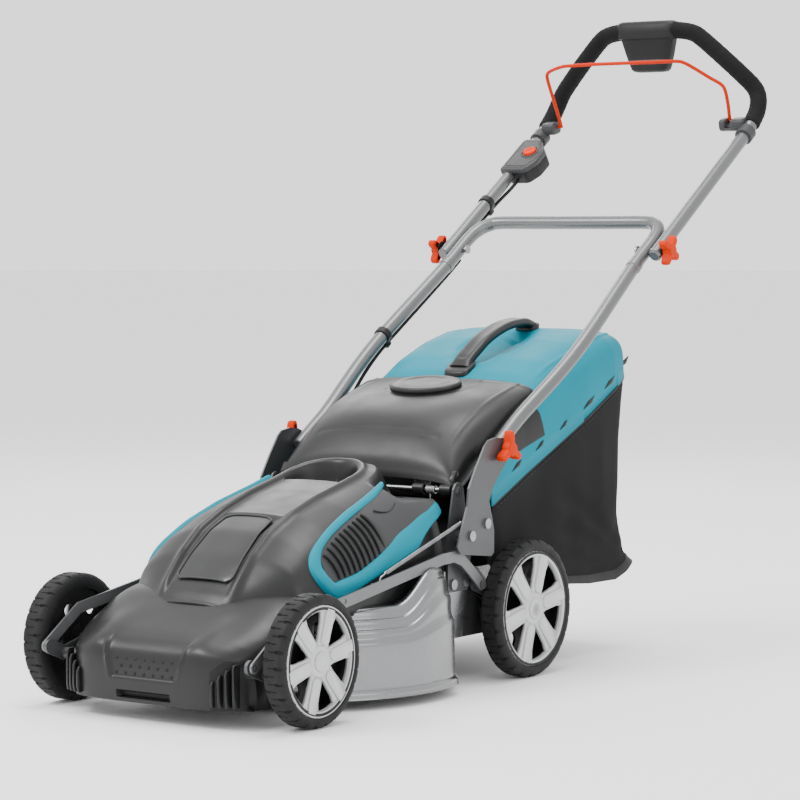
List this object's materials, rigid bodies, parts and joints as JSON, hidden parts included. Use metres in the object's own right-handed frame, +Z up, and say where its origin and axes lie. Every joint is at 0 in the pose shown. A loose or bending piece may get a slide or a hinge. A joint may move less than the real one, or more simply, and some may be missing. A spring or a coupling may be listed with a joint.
{
  "type": "walk-behind electric rotary lawn mower",
  "caption": "Walk-behind electric rotary mower with steel deck, moulded motor hood, folding tube handle, height-adjustable wheels and a rear grass box with a fabric bag.",
  "frame": {"origin": "middle of the footprint on the ground, wheels at their lowest cutting height", "axes": "+X to the mower's left side, +Y to the rear where the handle is, +Z up"},
  "size_m": [0.461, 1.3855, 1.017],
  "materials": {
    "deck_steel": "metallic silver paint, gloss",
    "cover_plastic": "dark grey satin moulding",
    "smoked_window": "smoked gloss",
    "grey_plastic": "mid grey satin moulding",
    "teal_plastic": "teal satin moulding",
    "motor_alloy": "cast, satin",
    "winding": "laminations and copper winding",
    "bright_steel": "zinc plated",
    "bracket_steel": "grey coated steel",
    "link_steel": "grey coated steel",
    "blade_steel": "ground edge",
    "black_plastic": "black moulding",
    "cable_rubber": "black flexible sheath",
    "tyre_rubber": "black moulded tread",
    "rim_silver": "silver painted moulding",
    "bag_fabric": "dark grey woven polyester",
    "handle_tube": "silver grey coating",
    "orange_plastic": "orange moulding",
    "orange_wire": "orange plastic coated wire",
    "foam": "closed-cell foam"
  },
  "bodies": {
    "root": {"deck_shell": "deck_steel", "deck_corners": "deck_steel", "front_cover": "cover_plastic", "motor_hood": "cover_plastic", "hood_window": "smoked_window", "side_panel_left": "grey_plastic", "side_panel_right": "grey_plastic", "side_trim_left": "teal_plastic", "side_trim_right": "teal_plastic", "vent_grilles": "cover_plastic", "motor_housing": "motor_alloy", "motor_stator": "winding", "motor_bearings": "bright_steel", "discharge_chute": "black_plastic", "handle_bracket_left": "bracket_steel", "handle_bracket_right": "bracket_steel", "bracket_bolts": "bright_steel", "flap_hinge_rod": "bright_steel", "axle_blocks": "black_plastic", "cable_deck": "cable_rubber"},
    "front_axle_set": {"front_axle": "bracket_steel"},
    "rear_crank_left_set": {"rear_crank_left": "bracket_steel"},
    "rear_crank_right_set": {"rear_crank_right": "bracket_steel"},
    "link_left": {"link_bar_left": "link_steel", "balance_spring": "bright_steel"},
    "link_right": {"link_bar_right": "link_steel"},
    "wheel_front_left": {"front_tyre_left": "tyre_rubber", "front_hub_left": "black_plastic", "front_rim_left": "rim_silver"},
    "wheel_front_right": {"front_tyre_right": "tyre_rubber", "front_hub_right": "black_plastic", "front_rim_right": "rim_silver"},
    "wheel_rear_left": {"rear_tyre_left": "tyre_rubber", "rear_hub_left": "black_plastic", "rear_rim_left": "rim_silver"},
    "wheel_rear_right": {"rear_tyre_right": "tyre_rubber", "rear_hub_right": "black_plastic", "rear_rim_right": "rim_silver"},
    "cutter": {"motor_rotor": "bright_steel", "cooling_fan": "black_plastic", "blade_carrier": "black_plastic", "blade": "blade_steel"},
    "flap": {"rear_flap": "cover_plastic"},
    "grass_box": {"box_top_cover": "teal_plastic", "box_front_frame": "cover_plastic", "fabric_bag": "bag_fabric", "box_carry_handle": "cover_plastic"},
    "lower_handle_set": {"lower_handle": "handle_tube", "upper_pivot_bolts": "bright_steel", "cable_lower": "cable_rubber"},
    "upper_handle_set": {"upper_handle": "handle_tube", "foam_grip": "foam", "grip_housing": "black_plastic", "switch_box": "grey_plastic", "bail_clamps": "grey_plastic", "cable_upper": "cable_rubber"},
    "bail": {"bail_lever": "orange_wire"},
    "button": {"lock_button": "orange_plastic"},
    "knobs_lower": {"lower_knobs": "orange_plastic"},
    "knobs_upper": {"upper_knobs": "orange_plastic"}
  },
  "joints": [
    {"name": "cut_height", "type": "hinge", "parent": "root", "child": "front_axle_set", "pos_m": [0, -0.6515, 0.076], "axis": [-1, 0, 0], "range_deg": [0, 35]},
    {"name": "rear_height_left", "type": "hinge", "parent": "root", "child": "rear_crank_left_set", "pos_m": [0.165, -0.113, 0.134], "axis": [-1, 0, 0], "range_deg": [0, 35]},
    {"name": "rear_height_right", "type": "hinge", "parent": "root", "child": "rear_crank_right_set", "pos_m": [-0.165, -0.113, 0.134], "axis": [-1, 0, 0], "range_deg": [0, 35]},
    {"name": "link_pivot_left", "type": "hinge", "parent": "rear_crank_left_set", "child": "link_left", "pos_m": [0.182, -0.143, 0.146], "axis": [-1, 0, 0], "range_deg": [-35, 0]},
    {"name": "link_pivot_right", "type": "hinge", "parent": "rear_crank_right_set", "child": "link_right", "pos_m": [-0.182, -0.143, 0.146], "axis": [-1, 0, 0], "range_deg": [-35, 0]},
    {"name": "front_wheel_left_spin", "type": "hinge", "parent": "front_axle_set", "child": "wheel_front_left", "pos_m": [0.211, -0.5935, 0.09], "axis": [1, 0, 0], "continuous": true},
    {"name": "front_wheel_right_spin", "type": "hinge", "parent": "front_axle_set", "child": "wheel_front_right", "pos_m": [-0.211, -0.5935, 0.09], "axis": [1, 0, 0], "continuous": true},
    {"name": "rear_wheel_left_spin", "type": "hinge", "parent": "rear_crank_left_set", "child": "wheel_rear_left", "pos_m": [0.194, -0.0405, 0.102], "axis": [1, 0, 0], "continuous": true},
    {"name": "rear_wheel_right_spin", "type": "hinge", "parent": "rear_crank_right_set", "child": "wheel_rear_right", "pos_m": [-0.194, -0.0405, 0.102], "axis": [1, 0, 0], "continuous": true},
    {"name": "blade_spin", "type": "hinge", "parent": "root", "child": "cutter", "pos_m": [0, -0.3185, 0.06], "axis": [0, 0, 1], "continuous": true},
    {"name": "flap_lift", "type": "hinge", "parent": "root", "child": "flap", "pos_m": [0, -0.1815, 0.285], "axis": [1, 0, 0], "range_deg": [0, 38], "stiffness_Nm_per_rad": 0.6, "springref_deg": -34.38},
    {"name": "grass_box_removal", "type": "slide", "parent": "root", "child": "grass_box", "axis": [0, 1, 0], "range_m": [0, 0.5]},
    {"name": "lower_handle_fold", "type": "hinge", "parent": "root", "child": "lower_handle_set", "pos_m": [0, -0.0965, 0.342], "axis": [1, 0, 0], "range_deg": [0, 95]},
    {"name": "upper_handle_fold", "type": "hinge", "parent": "lower_handle_set", "child": "upper_handle_set", "pos_m": [0, 0.33211, 0.6311], "axis": [1, 0, 0], "range_deg": [0, 108]},
    {"name": "bail_squeeze", "type": "hinge", "parent": "upper_handle_set", "child": "bail", "pos_m": [0, 0.6285, 0.842], "axis": [-1, 0, 0], "range_deg": [0, 26], "stiffness_Nm_per_rad": 0.4, "springref_deg": -11.46},
    {"name": "lock_button_press", "type": "slide", "parent": "upper_handle_set", "child": "button", "axis": [0, 0.5592, -0.829], "range_m": [0, 0.004], "stiffness_N_per_m": 400, "springref_m": -0.0015},
    {"name": "lower_knobs_turn", "type": "hinge", "parent": "root", "child": "knobs_lower", "pos_m": [0, -0.0965, 0.342], "axis": [1, 0, 0], "continuous": true},
    {"name": "upper_knobs_turn", "type": "hinge", "parent": "lower_handle_set", "child": "knobs_upper", "pos_m": [0, 0.33211, 0.6311], "axis": [1, 0, 0], "continuous": true}
  ],
  "couplings": [
    {"joint": "rear_height_left", "follows": "cut_height", "ratio": 1},
    {"joint": "rear_height_right", "follows": "cut_height", "ratio": 1},
    {"joint": "link_pivot_left", "follows": "cut_height", "ratio": -1},
    {"joint": "link_pivot_right", "follows": "cut_height", "ratio": -1}
  ]
}
